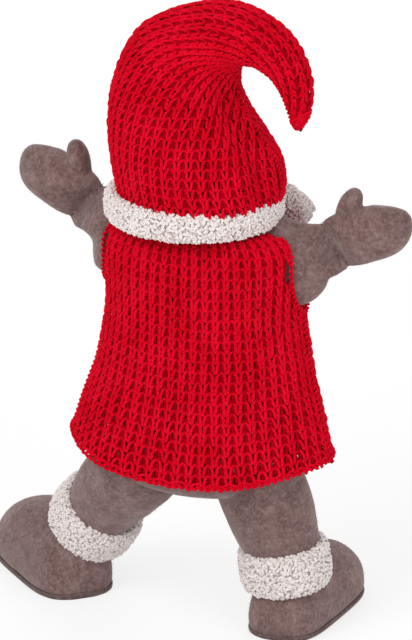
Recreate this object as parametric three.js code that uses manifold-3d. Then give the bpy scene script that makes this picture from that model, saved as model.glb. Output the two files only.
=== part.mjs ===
// A soft Santa doll: stuffed felt body in a knitted tunic, hooked knitted hat, curly fleece trim and felt boots.
// Millimetres, +Z up, the face looks along -Y, so the doll's left hand is on +X.
import * as THREE from 'three';
import { mergeVertices } from 'three/addons/utils/BufferGeometryUtils.js';
import Module from 'manifold-3d';

const wasm = await Module();
wasm.setup();

// Driving sizes
const GAP = 0.3;            // clearance left between pieces that touch on the real doll
const SWING = 0.8;          // clearance round a stuffed joint that turns in its socket
const KNIT = 3.4;           // thickness of the knitted cloth
const EASE = 0.9;           // slack between the stuffed body and the tunic that lies on it
const FINE = 0.06;          // facets flatter than this are joined into one
const SOLE = 3.0;           // thickness of the boot sole
const HEAD = { x: 8.3, y: 0, z: 289.5, r: 45.5 };
const NOSE = { y: -45, z: 277, rx: 8.5, ry: 8, rz: 7.5 };
const EYE = { x: 14.5, z: 287.5, r: 3.4 };
const LEAN = { far: -2.8, from: 110, over: 70 };   // the chest's shift to the doll's right, and where it sets in
const SHOULDER = { y: -4, depth: 19, left: { x: 51, z: 238, r: 25.5 }, right: { x: -52.5, z: 235, r: 28.4 } };
const HIP = { x: 34, y: 0, z: 104, r: 27 };
const RAISE = { left: 42.5, right: 35 };   // how far each sewn wrist line is lifted, degrees
const WRIST = { left: 32, right: 28, drop: -7, forward: -11, half: 16.2, edge: 1.2 };
const TRIM = { x: HEAD.x - 3.8, rx: 49, ry: 47, low: 267, high: 303, thick: 4.8, tall: 9 };
const CUFF = { inner: 21.6, thick: 2.6, half: 13.5 };
const BEARD = { x: 2.5, y: -48, wide: 60.5, thick: 9, top: 276, low: 216, sideTop: 266, sideLow: 249, wrap: 11 };
const REACH = 400;          // size of the blocks that only cut, beyond every piece

// Half width and half depth of the tunic's outside at each height
const TUNIC_ROWS = [
  [96, 85, 50], [114, 82.5, 48.5], [128, 79, 46.5], [144, 74.5, 45], [162, 69, 43.5], [187, 64.5, 42],
  [206, 62, 41.5], [230, 63, 41], [244, 62.5, 40], [251, 59, 38], [255, 53, 35], [256.6, 45, 32],
];
const HEM = { left: 117, right: 112.5, middle: 98, bead: 1.5 };

// The hat seen from the front: its right side, its left side, then its half depth
const HAT_ROWS = [
  [-46.5, 262, 48.5, 262, 48], [-47.8, 276, 51, 276, 49.5], [-47.2, 288, 54, 288, 49.8], [-43, 300, 56, 300, 49],
  [-34.5, 313, 57, 313, 46.5], [-27, 325, 57, 325, 43], [-23, 337, 55.5, 337, 39.5], [-23.5, 347, 52.5, 348.5, 36],
  [-25, 354, 47, 362.5, 32.5], [-26.5, 356.5, 36.5, 376.3, 29], [-28.5, 357.2, 19, 386.2, 26],
  [-31.5, 357, -3, 393.5, 23.5], [-35, 356.3, -24, 394, 21], [-39, 354, -42, 387.5, 18.5],
  [-43.5, 350, -55.5, 378, 16], [-48, 344, -65, 365, 13.8], [-51.8, 336, -69.7, 351, 11.3],
  [-54.5, 328.5, -70, 338, 8.8], [-56.5, 322.8, -67.2, 327.6, 5.8], [-59.5, 319.8, -63, 321, 1.8],
];

// Height, half width and half depth of the stuffed body below and above the part that fills the tunic
const BODY_FOOT = [[83.5, 16, 12], [86, 36, 24], [93, 50, 32], [106, 56, 36], [125, 57.5, 37.5], [155, 58.5, 38]];
const BODY_FILL = [187, 206, 230, 242];
const BODY_NECK = [[248, 54, 33.5], [251, 47, 30], [252.6, 37, 26]];

// Rows [out, forward, up, half height, half depth] from the arm's ball to its wrist, measured from the shoulder
const ARM_ROOT = [[-14, 16, 11], [-13, 21, 14.5]];
const ARM_BALL = [-11, -6, 0, 6, 12];

// How far each arm lifts from where it stands, degrees
const ARM_LIFT = { left: 6, right: 15 };

// The same for the taper down to the wrist, a mitten and its thumb, measured from the wrist line
const ARM_TAPER = [
  [-11.5, -2, -1.5, 20.4, 12.8], [-7.5, -5.2, -4, 18.6, 9.8], [-4.5, -8.4, -5.6, 17, 6], [-2.2, -10.2, -6.6, 16.4, 2.9],
];
const MITTEN_ROWS = [
  [3, -11, -7.2, 16.7, 3.4], [6, -11.2, -7.8, 17.2, 7.4], [11, -11.6, -9, 17.4, 11], [18, -12.2, -10.8, 17, 13.2],
  [25, -13, -12.4, 17, 13.8], [32, -13.8, -13.8, 16.2, 13.2], [38, -14.6, -15, 13.4, 11.2], [43, -15.4, -15.4, 9.8, 8.4],
  [46.8, -16, -15.1, 5.6, 4.9], [48.4, -16.2, -14.8, 1.8, 1.6],
];
const THUMB_ROWS = [
  [6, -11.5, -3, 6, 5.5], [13, -11.5, 2.8, 8.4, 7.6], [19.5, -11.7, 7.6, 8.2, 7.8], [25, -12, 10.4, 7.1, 7.2],
  [29.5, -12.2, 11.9, 5.2, 5.2], [32, -12.3, 12.4, 2, 2],
];

const COLOURS = {
  felt: 0x80706c, knit: 0xc8102e, fleece: 0xe6dfd6, nose: 0x8f6f66, bead: 0x141414, sole: 0x4a403c,
};
const ROUGH = { felt: 0.95, knit: 0.85, fleece: 0.95, nose: 0.95, bead: 0.2, sole: 0.8 };

// A Catmull-Rom curve through rows of numbers, with a few steps in each interval
function smoothRows(rows, steps) {
  const out = [];
  const at = (i) => rows[Math.max(0, Math.min(rows.length - 1, i))];
  for (let i = 0; i < rows.length - 1; i++) {
    for (let k = 0; k < steps; k++) {
      out.push(rows[i].map((unused, c) => spline(at(i - 1)[c], at(i)[c], at(i + 1)[c], at(i + 2)[c], k / steps)));
    }
  }
  out.push([...rows[rows.length - 1]]);
  return out;
}

function spline(a, b, c, d, t) {
  return 0.5 * (2 * b + (c - a) * t + (2 * a - 5 * b + 4 * c - d) * t * t + (3 * b - a - 3 * c + d) * t * t * t);
}

// The value of column c at a height, read off rows that start with the height
function readRows(rows, height, c) {
  const z = Math.max(rows[0][0], Math.min(rows[rows.length - 1][0], height));
  const i = Math.max(0, rows.findIndex((row, k) => k > 0 && row[0] >= z) - 1);
  const at = (k) => rows[Math.max(0, Math.min(rows.length - 1, k))];
  const t = (z - rows[i][0]) / (rows[i + 1][0] - rows[i][0]);
  return spline(at(i - 1)[c], at(i)[c], at(i + 1)[c], at(i + 2)[c], t);
}

const vec = (x, y, z) => new THREE.Vector3(x, y, z);
const bent = (value, power) => Math.sign(value) * Math.pow(Math.abs(value), 2 / power);

// An oval ring of points about a centre: half size a along u and b along v
function oval(centre, u, v, a, b, sides, power = 2) {
  const ring = [];
  for (let i = 0; i < sides; i++) {
    const angle = (i / sides) * Math.PI * 2;
    const point = centre.clone();
    point.addScaledVector(u, a * bent(Math.cos(angle), power));
    point.addScaledVector(v, b * bent(Math.sin(angle), power));
    ring.push(point);
  }
  return ring;
}

// Skin over a stack of rings: closed by a cap at each end, or joined end to start when looped
function skin(rings, looped = false) {
  const sides = rings[0].length;
  const points = rings.flat();
  const faces = [];
  const spans = looped ? rings.length : rings.length - 1;
  for (let r = 0; r < spans; r++) {
    const next = (r + 1) % rings.length;
    for (let i = 0; i < sides; i++) {
      const j = (i + 1) % sides;
      faces.push(r * sides + i, r * sides + j, next * sides + j);
      faces.push(r * sides + i, next * sides + j, next * sides + i);
    }
  }
  if (!looped) {
    addCap(points, faces, rings[0], 0, true);
    addCap(points, faces, rings[rings.length - 1], (rings.length - 1) * sides, false);
  }
  return solid(points, faces);
}

function addCap(points, faces, ring, offset, first) {
  const middle = ring.reduce((sum, p) => sum.add(p), vec(0, 0, 0)).multiplyScalar(1 / ring.length);
  const hub = points.length;
  points.push(middle);
  for (let i = 0; i < ring.length; i++) {
    const j = (i + 1) % ring.length;
    faces.push(offset + (first ? j : i), offset + (first ? i : j), hub);
  }
}

// A closed manifold body with its faces looking outward
function solid(points, faces) {
  let volume = 0;
  for (let i = 0; i < faces.length; i += 3) {
    const [a, b, c] = [points[faces[i]], points[faces[i + 1]], points[faces[i + 2]]];
    volume += a.dot(vec(0, 0, 0).crossVectors(b, c));
  }
  if (volume < 0) {
    for (let i = 0; i < faces.length; i += 3) {
      [faces[i], faces[i + 1]] = [faces[i + 1], faces[i]];
    }
  }
  const geometry = new THREE.BufferGeometry();
  geometry.setAttribute('position', new THREE.Float32BufferAttribute(points.flatMap((p) => [p.x, p.y, p.z]), 3));
  geometry.setIndex(faces);
  return body(geometry);
}

function body(geometry) {
  geometry.deleteAttribute('normal');
  geometry.deleteAttribute('uv');
  const merged = mergeVertices(geometry, 1e-4);
  return new wasm.Manifold(new wasm.Mesh({
    numProp: 3,
    vertProperties: Float32Array.from(merged.attributes.position.array),
    triVerts: Uint32Array.from(merged.index.array),
  }));
}

function ball(x, y, z, rx, ry, rz, sides = 32) {
  const sphere = new THREE.SphereGeometry(1, sides, sides / 2);
  sphere.scale(rx, ry, rz);
  sphere.translate(x, y, z);
  return body(sphere);
}

function block(x0, x1, y0, y1, z0, z1) {
  const box = new THREE.BoxGeometry(x1 - x0, y1 - y0, z1 - z0);
  box.translate((x0 + x1) / 2, (y0 + y1) / 2, (z0 + z1) / 2);
  return body(box);
}

// A stuffed tube along a path of [x, y, z, half width, half depth] rows; side is the direction of its width
function stuffed(rows, side, sides, grow = 0) {
  const centre = (i) => vec(rows[i][0], rows[i][1], rows[i][2]);
  const end = rows.length - 1;
  const rings = rows.map((row, i) => {
    const along = centre(Math.min(end, i + 1)).sub(centre(Math.max(0, i - 1))).normalize();
    const v = vec(0, 0, 0).crossVectors(along, side).normalize();
    const u = vec(0, 0, 0).crossVectors(v, along).normalize();
    const middle = centre(i).addScaledVector(along, i === end ? grow : 0);
    return oval(middle, u, v, row[3] + grow, row[4] + grow, sides);
  });
  return skin(rings);
}

// Head and hat

function headBall(grow = 0) {
  const r = HEAD.r + grow;
  return ball(HEAD.x, HEAD.y, HEAD.z, r, r, r, 26);
}

// The hat's outside, or its inside when it is drawn in by the thickness of the cloth
function hatForm(inset) {
  const rows = smoothRows(HAT_ROWS, 1);
  const rings = rows.map((row) => {
    const from = vec(row[0], 0, row[1]);
    const to = vec(row[2], 0, row[3]);
    const half = to.distanceTo(from) / 2;
    const centre = from.clone().add(to).multiplyScalar(0.5);
    const u = to.sub(from).normalize();
    return oval(centre, u, vec(0, 1, 0), Math.max(0.4, half - inset), Math.max(0.4, row[4] - inset), 26);
  });
  const whole = skin(rings);
  return inset > 0 ? whole.subtract(tipCut(inset)) : whole;
}

// Keeps the lining's tip back from the cloth's tip
function tipCut(inset) {
  return block(-REACH, -HEAD.r, -HEAD.r, HEAD.r, HEAD.z, HAT_ROWS[HAT_ROWS.length - 1][1] + inset * 1.3);
}

// Height of the trim's middle round the head: level at the back and sides, swept up over the brow
function trimHeight(angle) {
  const front = Math.max(0, Math.min(1, (-Math.sin(angle) - 0.5) / 0.5));
  return TRIM.low + (TRIM.high - TRIM.low) * front * front * (3 - 2 * front);
}

function trimRing(grow = 0) {
  const rings = [];
  for (let i = 0; i < 36; i++) {
    const angle = (i / 36) * Math.PI * 2;
    const centre = vec(TRIM.x + TRIM.rx * Math.cos(angle), TRIM.ry * Math.sin(angle), trimHeight(angle));
    const out = vec(Math.cos(angle), Math.sin(angle), 0);
    rings.push(oval(centre, out, vec(0, 0, 1), TRIM.thick + grow, TRIM.tall + grow, 10, 2.6));
  }
  return skin(rings, true);
}

// Everything below the trim's upper edge, which is where the hat's cloth stops
function belowTrim() {
  const rim = (radius, lift) => {
    const ring = [];
    for (let i = 0; i < 36; i++) {
      const angle = (i / 36) * Math.PI * 2;
      const z = lift === null ? TRIM.low - HEAD.r : trimHeight(angle) + lift;
      ring.push(vec(TRIM.x + radius * Math.cos(angle), radius * Math.sin(angle), z));
    }
    return ring;
  };
  return skin([rim(HEAD.r * 2, null), rim(HEAD.r * 2, TRIM.tall + GAP), rim(HEAD.r - 5, TRIM.tall + GAP)]);
}

function hatKnit() {
  const cloth = hatForm(0).subtract(hatForm(KNIT));
  return cloth.subtract(belowTrim()).subtract(trimRing(GAP)).subtract(headBall(GAP));
}

// The main piece of a cut shape, without the slivers left beside it
function largest(shape) {
  return shape.decompose().sort((a, b) => b.volume() - a.volume())[0];
}

function hatLining() {
  const inside = hatForm(KNIT + GAP).subtract(headBall(GAP));
  return inside.intersect(block(-REACH, REACH, -REACH, REACH, HEAD.z + HEAD.r * 0.67, REACH * 2));
}

// A soft bib that hangs from the chin and spreads to both sides
function beardPad() {
  const rings = [];
  for (let i = 0; i <= 18; i++) {
    const u = -1 + i / 9;
    const end = Math.sqrt(Math.max(0.04, 1 - Math.pow(Math.abs(u), 6)));
    const low = BEARD.low + (BEARD.sideLow - BEARD.low) * u * u;
    const high = BEARD.top + (BEARD.sideTop - BEARD.top) * u * u;
    const middle = vec(BEARD.x + BEARD.wide * u, BEARD.y + BEARD.wrap * u * u, (low + high) / 2);
    const half = ((high - low) / 2) * end;
    rings.push(oval(middle, vec(0, 0, 1), vec(0, 1, 0), half, BEARD.thick * Math.sqrt(end), 16, 2.3));
  }
  return skin(rings);
}

function noseBall(grow = 0) {
  return ball(HEAD.x, NOSE.y, NOSE.z, NOSE.rx + grow, NOSE.ry + grow, NOSE.rz + grow, 16);
}

function eyeBead(sign) {
  const y = -Math.sqrt(HEAD.r * HEAD.r - EYE.x * EYE.x);
  return ball(HEAD.x + sign * EYE.x, y, EYE.z, EYE.r, EYE.r, EYE.r, 14).subtract(headBall(GAP));
}

// Tunic

// Sideways shift of the body's middle at a height: none at the hem, all of it from the waist up
function lean(z) {
  const up = Math.max(0, Math.min(1, (z - LEAN.from) / LEAN.over));
  return LEAN.far * up * up * (3 - 2 * up);
}

// One point of the tunic: angle round it, share of the way up, and how far in from the outside
function tunicPoint(angle, share, inset) {
  const side = Math.pow(Math.abs(Math.cos(angle)), 1.6);
  const corner = Math.cos(angle) > 0 ? HEM.left : HEM.right;
  const hem = HEM.middle + (corner - HEM.middle) * side;
  const top = TUNIC_ROWS[TUNIC_ROWS.length - 1][0];
  const z = hem + (top - hem) * share;
  const fold = 1.6 * Math.pow(1 - share, 2) * Math.cos(6 * angle + 0.6);
  const halfX = readRows(TUNIC_ROWS, z, 1) - inset + fold * 0.6;
  const halfY = readRows(TUNIC_ROWS, z, 2) - inset + fold;
  return vec(lean(z) + halfX * bent(Math.cos(angle), 2.25), halfY * bent(Math.sin(angle), 2.25), z);
}

function tunicRing(share, inset, drop = 0) {
  const ring = [];
  for (let i = 0; i < 44; i++) {
    ring.push(tunicPoint(((i + 0.5) / 44) * Math.PI * 2, share, inset));
    ring[i].z -= drop;
  }
  return ring;
}

const TUNIC_SHARES = [0, 0.06, 0.18, 0.32, 0.46, 0.6, 0.74, 0.86, 0.93, 0.97, 1];

// The cloth of the tunic, with its thicker rolled edge at the hem
function tunicCloth() {
  const outside = TUNIC_SHARES.slice(1).map((s) => tunicRing(s, 0));
  const inside = TUNIC_SHARES.slice(1).reverse().map((s) => tunicRing(s, KNIT, s > 0.9 ? KNIT * (s - 0.9) * 10 : 0));
  const hem = [
    tunicRing(0.03, KNIT + HEM.bead * 0.6), tunicRing(0, KNIT + HEM.bead * 0.3), tunicRing(0, KNIT / 2, 1.2),
    tunicRing(0, -HEM.bead * 0.7), tunicRing(0.025, -HEM.bead),
  ];
  return skin([...outside, ...inside, ...hem], true);
}

// The whole space inside the tunic's outer face
function tunicBulk(grow) {
  return skin(TUNIC_SHARES.map((share) => tunicRing(share, -grow, share === 1 ? -grow : 0)));
}

// The body's bulk inside the tunic
function torsoForm() {
  const close = KNIT + EASE;
  const fill = BODY_FILL.map((z) => [z, readRows(TUNIC_ROWS, z, 1) - close, readRows(TUNIC_ROWS, z, 2) - close]);
  const rows = [...BODY_FOOT, ...fill, ...BODY_NECK];
  const rings = rows.map((row) => {
    return oval(vec(lean(row[0]), 0, row[0]), vec(1, 0, 0), vec(0, 1, 0), row[1], row[2], 32, 2.25);
  });
  return skin(rings);
}

function shoulderAt(sign) {
  return sign > 0 ? SHOULDER.left : SHOULDER.right;
}

function shoulderSocket(sign, grow) {
  const { x, z, r } = shoulderAt(sign);
  return ball(x, SHOULDER.y, z, r + grow, SHOULDER.depth + grow, r + grow, 22);
}

// The hole in the tunic's side that the arm comes out through
function armhole(sign) {
  const { x, z, r } = shoulderAt(sign);
  const rings = [x, x + sign * 60].map((at) => {
    return oval(vec(at, SHOULDER.y, z), vec(0, 0, 1), vec(0, 1, 0), r + SWING, SHOULDER.depth + SWING, 24);
  });
  return skin(rings).add(shoulderSocket(sign, SWING));
}

function hipSocket(sign, grow) {
  const r = HIP.r + grow;
  return ball(sign * HIP.x, HIP.y, HIP.z, r, r, r, 22);
}

// Arms

// Places [out, forward, up] rows of an arm, measured from the shoulder along the lifted wrist line
function armFrame(sign, raise, reach) {
  const angle = THREE.MathUtils.degToRad(raise);
  const out = vec(sign * Math.cos(angle), 0, Math.sin(angle));
  const up = vec(-sign * Math.sin(angle), 0, Math.cos(angle));
  const { x, z, r } = shoulderAt(sign);
  return { out, up, origin: vec(x, SHOULDER.y, z), reach, r };
}

// Rings across an arm or hand: rows of [out, forward, up, half height, half depth]
function armRings(frame, rows, sides) {
  return rows.map((row) => {
    const centre = frame.origin.clone().addScaledVector(frame.out, row[0]).addScaledVector(frame.up, row[2]);
    centre.y += row[1];
    return oval(centre, frame.up, vec(0, 1, 0), row[3], row[4], sides);
  });
}

// The arm's root is part of a flattened ball that turns in the body; its end is pressed flat at the wrist seam
function armSolid(frame, grow = 0) {
  const rows = ARM_ROOT.map((row) => [row[0], 0, 0, row[1], row[2]]);
  for (const x of ARM_BALL) {
    const share = Math.sqrt(1 - (x / frame.r) * (x / frame.r));
    rows.push([x, 0, 0, frame.r * share, SHOULDER.depth * share]);
  }
  const all = [...rows, ...fromWrist(frame, ARM_TAPER), ...seamRows(frame, -1)];
  return skin(armRings(frame, all.map(([x, y, z, a, b]) => [x, y, z, a + grow, b + grow]), 18));
}

// The room an arm needs beside the hat's trim, from where it stands to where it is lifted highest
function armRoom(name, sign) {
  const frame = armFrame(sign, RAISE[name], WRIST[name]);
  const still = armSolid(frame, SWING);
  return still.add(turned(still, frame.origin, -sign * ARM_LIFT[name]));
}

function turned(shape, centre, angle) {
  const home = shape.translate([-centre.x, -centre.y, -centre.z]);
  return home.rotate([0, angle, 0]).translate([centre.x, centre.y, centre.z]);
}

function fromWrist(frame, rows) {
  return rows.map((row) => [frame.reach + row[0], ...row.slice(1)]);
}

// The pressed flat edge on one side of the wrist line, in order of going out
function seamRows(frame, side) {
  const w = WRIST;
  const rows = fromWrist(frame, [
    [side * GAP * 0.5, w.forward, w.drop, w.half - 0.9, 0.2],
    [side * GAP * 2, w.forward, w.drop, w.half - 0.4, w.edge * 0.8],
    [side * GAP * 4.5, w.forward, w.drop, w.half, w.edge],
  ]);
  return side > 0 ? rows : rows.reverse();
}

function handSolid(frame) {
  const rows = [...seamRows(frame, 1), ...fromWrist(frame, MITTEN_ROWS)];
  return skin(armRings(frame, rows, 18)).add(thumbSolid(frame));
}

function thumbSolid(frame) {
  const rows = fromWrist(frame, THUMB_ROWS).map(([out, forward, up, a, b]) => {
    const p = frame.origin.clone().addScaledVector(frame.out, out).addScaledVector(frame.up, up);
    return [p.x, p.y + forward, p.z, a, b];
  });
  return stuffed(rows, frame.up, 12);
}

// Legs, cuffs and boots

const LEG_PATHS = {
  right: [
    [-34.6, -0.2, 101, 26.3, 26.3], [-37.5, -1, 92, 27, 27], [-42, -2.5, 79, 27, 26.6], [-46, -4, 66, 25.8, 25.6],
    [-49.5, -5.5, 54, 23.4, 23.4], [-51, -6.5, 44, 21.4, 21.4], [-52, -7, 34, 20.4, 20.4], [-52.5, -7, 26, 19.6, 19.6], [-52.5, -7, 23.4, 17, 17],
  ],
  left: [
    [35.8, -0.6, 101.5, 26.3, 26.3], [40.5, -2, 94, 27, 27], [49.5, -6.5, 84, 26.6, 26.4], [59, -12, 74, 25.4, 25],
    [67.5, -17.5, 63, 23.2, 23.2], [75, -22.5, 52, 21.4, 21.4], [81.5, -27, 41, 20.4, 20.4], [86, -30, 32, 19.6, 19.6], [87.5, -31, 29.5, 17, 17],
  ],
};

// How far each leg swings out and in from where it stands, degrees
const LEG_SWING = { right: { out: 20, in: 4 }, left: { out: 8, in: 12 } };

const CUFFS = {
  right: { centre: [-51.4, -6.4, 41], axis: [0.1, 0.06, 1] },
  left: { centre: [78, -24.8, 47.5], axis: [-0.56, 0.33, 0.76] },
};

// Heel and toe of each boot on the floor
const BOOTS = {
  right: { heel: [-53, 19.5], toe: [-58.8, -88.6], wide: 0.91, tall: 0.96 },
  left: { heel: [78, -4.2], toe: [148.2, -81.6], wide: 1, tall: 1.03 },
};

// Share of the way from heel to toe, half width, height of the upper
const BOOT_ROWS = [
  [0.004, 8, 13], [0.03, 16, 26], [0.08, 21.5, 33.5], [0.17, 25, 37.5], [0.3, 26.6, 39.5], [0.45, 27.4, 41],
  [0.6, 28, 41.5], [0.72, 27.8, 39], [0.82, 26, 34.5], [0.9, 21.8, 27], [0.96, 15, 18.5], [0.996, 6.5, 9],
];

function legSolid(sign, path, grow = 0) {
  const rows = smoothRows(path, 1);
  const tube = stuffed(rows, vec(1, 0, 0), 22, grow);
  return tube.add(hipSocket(sign, grow));
}

// The room that a leg needs under the body when it stands and when it is drawn in
function legRoom(name, sign) {
  const still = stuffed(LEG_PATHS[name].slice(0, 6), vec(1, 0, 0), 16, SWING * 1.5);
  const centre = vec(sign * HIP.x, HIP.y, HIP.z);
  const drawnIn = turned(still, centre, sign * LEG_SWING[name].in);
  const swungOut = turned(still, centre, -sign * LEG_SWING[name].out);
  return still.add(drawnIn).add(swungOut).add(hipSocket(sign, SWING));
}

function cuffSolid(cuff, leg) {
  const axis = vec(...cuff.axis).normalize();
  const u = vec(0, 0, 0).crossVectors(vec(0, 1, 0), axis).normalize();
  const v = vec(0, 0, 0).crossVectors(axis, u);
  const middle = CUFF.inner + CUFF.thick;
  const rings = [];
  for (let i = 0; i < 24; i++) {
    const angle = (i / 24) * Math.PI * 2;
    const out = u.clone().multiplyScalar(Math.cos(angle)).addScaledVector(v, Math.sin(angle));
    const centre = vec(...cuff.centre).addScaledVector(out, middle);
    rings.push(oval(centre, out, axis, CUFF.thick + 1.2, CUFF.half, 10, 2.6));
  }
  return skin(rings, true).subtract(leg);
}

// Rings across a boot from heel to toe, between a floor level and the upper's height
function bootRings(boot, floor, grow, heightAt) {
  const heel = vec(boot.heel[0], boot.heel[1], 0);
  const toe = vec(boot.toe[0], boot.toe[1], 0);
  const along = toe.clone().sub(heel).normalize();
  const across = vec(-along.y, along.x, 0);
  const length = toe.distanceTo(heel);
  return BOOT_ROWS.map((row) => {
    const centre = heel.clone().addScaledVector(along, row[0] * length + (row[0] - 0.5) * 2 * grow);
    return bootRing(centre, across, row[1] * boot.wide + grow, floor, heightAt(row[2] * boot.tall));
  });
}

// Flat underneath, with a small turn at the sole's edge and a domed upper
function bootRing(centre, across, half, floor, top) {
  const ring = [];
  const edge = Math.min(4, (top - floor) * 0.35);
  for (let i = 0; i <= 14; i++) {
    const angle = (i / 14) * Math.PI;
    const point = centre.clone().addScaledVector(across, half * bent(Math.cos(angle), 2.3));
    point.z = floor + edge + (top - floor - edge) * bent(Math.sin(angle), 2.3);
    ring.push(point);
  }
  for (const share of [-0.965, -0.5, 0, 0.5, 0.965]) {
    const point = centre.clone().addScaledVector(across, half * share);
    point.z = floor;
    ring.push(point);
  }
  return ring;
}

function bootUpper(boot, leg, grow = 0) {
  const upper = skin(bootRings(boot, SOLE + GAP - grow, grow, (h) => h + grow));
  return leg ? upper.subtract(leg) : upper;
}

function bootSole(boot) {
  const whole = skin(bootRings(boot, 0, 0.2, () => SOLE * 2));
  return whole.intersect(block(-REACH, REACH, -REACH, REACH, -1, SOLE));
}

// Assembly

function legPieces(name, sign) {
  const path = LEG_PATHS[name];
  const leg = legSolid(sign, path);
  const snug = legSolid(sign, path, GAP);
  const boot = BOOTS[name];
  const cuff = cuffSolid(CUFFS[name], snug).subtract(bootUpper(boot, null, GAP));
  return {
    [`${name}_leg`]: [leg, 'felt'],
    [`${name}_cuff`]: [cuff, 'fleece'],
    [`${name}_boot`]: [bootUpper(boot, snug), 'felt'],
    [`${name}_sole`]: [bootSole(boot), 'sole'],
  };
}

function armPieces(name, sign) {
  const frame = armFrame(sign, RAISE[name], WRIST[name]);
  return {
    [`${name}_arm`]: [armSolid(frame), 'felt'],
    [`${name}_hand`]: [handSolid(frame), 'felt'],
  };
}

function bodyPieces() {
  const arms = armhole(1).add(armhole(-1));
  const shoulders = shoulderSocket(1, SWING).add(shoulderSocket(-1, SWING));
  const legs = legRoom('left', 1).add(legRoom('right', -1));
  const torso = torsoForm().subtract(headBall(GAP)).subtract(shoulders).subtract(legs);
  const cloth = tunicCloth().subtract(arms).subtract(headBall(GAP));
  const armSpace = shoulders.add(armRoom('left', 1)).add(armRoom('right', -1));
  const head = headBall().subtract(armSpace);
  const trim = trimRing().subtract(headBall(GAP)).subtract(armSpace);
  const chin = headBall(GAP).add(trimRing(GAP)).add(noseBall(GAP));
  const beard = beardPad().subtract(chin).subtract(tunicBulk(GAP));
  return { torso, head, cloth, trim, beard };
}

const group = new THREE.Group();
group.name = 'santa_doll';

function place(name, shape, look) {
  const mesh = largest(shape.simplify(FINE)).getMesh();
  const geometry = new THREE.BufferGeometry();
  geometry.setAttribute('position', new THREE.Float32BufferAttribute(mesh.vertProperties, 3));
  geometry.setIndex(Array.from(mesh.triVerts));
  geometry.computeVertexNormals();
  const material = new THREE.MeshStandardMaterial({ color: COLOURS[look], roughness: ROUGH[look], metalness: 0 });
  const piece = new THREE.Mesh(geometry, material);
  piece.name = name;
  group.add(piece);
}

const main = bodyPieces();
place('torso', main.torso, 'felt');
place('head', main.head, 'felt');
place('hat_lining', hatLining(), 'felt');
place('hat_knit', hatKnit(), 'knit');
place('hat_trim', main.trim, 'fleece');
place('beard', main.beard, 'fleece');
place('nose', noseBall().subtract(headBall(GAP)), 'nose');
place('left_eye', eyeBead(1), 'bead');
place('right_eye', eyeBead(-1), 'bead');
place('tunic_front', main.cloth.intersect(block(-REACH, REACH, -REACH, -GAP / 2, 0, REACH)), 'knit');
place('tunic_back', main.cloth.intersect(block(-REACH, REACH, GAP / 2, REACH, 0, REACH)), 'knit');
for (const [name, sign] of [['left', 1], ['right', -1]]) {
  const pieces = { ...armPieces(name, sign), ...legPieces(name, sign) };
  for (const [key, [shape, look]] of Object.entries(pieces)) {
    place(key, shape, look);
  }
}

// The doll stands on the floor with its middle over the origin
const bounds = new THREE.Box3().setFromObject(group);
for (const piece of group.children) {
  piece.geometry.translate(-(bounds.min.x + bounds.max.x) / 2, -(bounds.min.y + bounds.max.y) / 2, -bounds.min.z);
}

export default group;
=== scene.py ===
# A stuffed felt Santa doll in real yarn: the knit is made of its own stitches, the fleece of its own curls.
# Lengths are in millimetres in the helpers and in metres on the objects.
import math

import bmesh
import bpy
import numpy as np
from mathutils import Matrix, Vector


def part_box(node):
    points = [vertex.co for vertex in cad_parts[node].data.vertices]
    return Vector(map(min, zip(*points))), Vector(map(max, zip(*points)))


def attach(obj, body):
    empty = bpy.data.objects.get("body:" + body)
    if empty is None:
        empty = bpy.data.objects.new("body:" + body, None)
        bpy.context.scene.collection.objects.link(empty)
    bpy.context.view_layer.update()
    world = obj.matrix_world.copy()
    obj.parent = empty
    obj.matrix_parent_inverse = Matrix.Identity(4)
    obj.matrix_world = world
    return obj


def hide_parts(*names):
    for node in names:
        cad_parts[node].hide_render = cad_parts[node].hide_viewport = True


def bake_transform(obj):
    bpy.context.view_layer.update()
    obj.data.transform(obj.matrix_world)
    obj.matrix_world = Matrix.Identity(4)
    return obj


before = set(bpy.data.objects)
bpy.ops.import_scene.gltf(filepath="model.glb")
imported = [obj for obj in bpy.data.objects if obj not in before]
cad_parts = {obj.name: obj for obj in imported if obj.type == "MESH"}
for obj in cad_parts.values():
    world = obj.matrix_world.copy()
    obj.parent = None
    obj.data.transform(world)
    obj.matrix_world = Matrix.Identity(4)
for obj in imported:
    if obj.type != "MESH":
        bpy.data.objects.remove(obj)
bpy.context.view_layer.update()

TURN = 2 * math.pi
MM_PER_M = 1000.0
X_AXIS, Y_AXIS, Z_AXIS = np.eye(3)

# Head and nose: middle and radii
HEAD = np.array([8.3, 0.0, 289.5])
HEAD_R = 45.5
NOSE_Y, NOSE_Z = -45.0, 277.0
NOSE_RADII = (8.3, 7.8, 7.3)
NOSE_SOLID_RX = 8.5

# Where the doll's own axis stands in the row frame, from the solids of the nose and the head
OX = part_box("nose")[1][0] * MM_PER_M - (HEAD[0] + NOSE_SOLID_RX)
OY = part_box("head")[1][1] * MM_PER_M - HEAD_R
SHIFT = np.array([OX, OY, 0.0])

# Which way each side lies along X
SIDES = (("left", 1.0), ("right", -1.0))
# Space that the knit takes over the filling
KNIT = 3.4
# Length of one turn of the yarn's plies
PLY_LENGTH = 2.2
# How far the tunic's top stands to the side of its hem, and from which height and over how much it leans
LEAN, LEAN_FROM, LEAN_OVER = -2.8, 110.0, 70.0
# Armholes: x, z and height above and below; y and half depth are the same on both sides
SHOULDER = {"y": -4.0, "depth": 19.0, "left": (51.0, 238.0, 25.5), "right": (-52.5, 235.0, 28.4)}
# Degrees that each arm is lifted
RAISE = {"left": 42.5, "right": 35.0}
# Wrist seams: how far out along the arm, down across it and forward
WRIST = {"left": 32.0, "right": 28.0, "drop": -7.0, "forward": -11.0}
# The hat's fleece brim: a tilted band, higher at the face
TRIM = {"x": 4.5, "rx": 49.0, "ry": 47.0, "low": 267.0, "high": 303.0, "thick": 4.8, "tall": 9.0}
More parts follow.
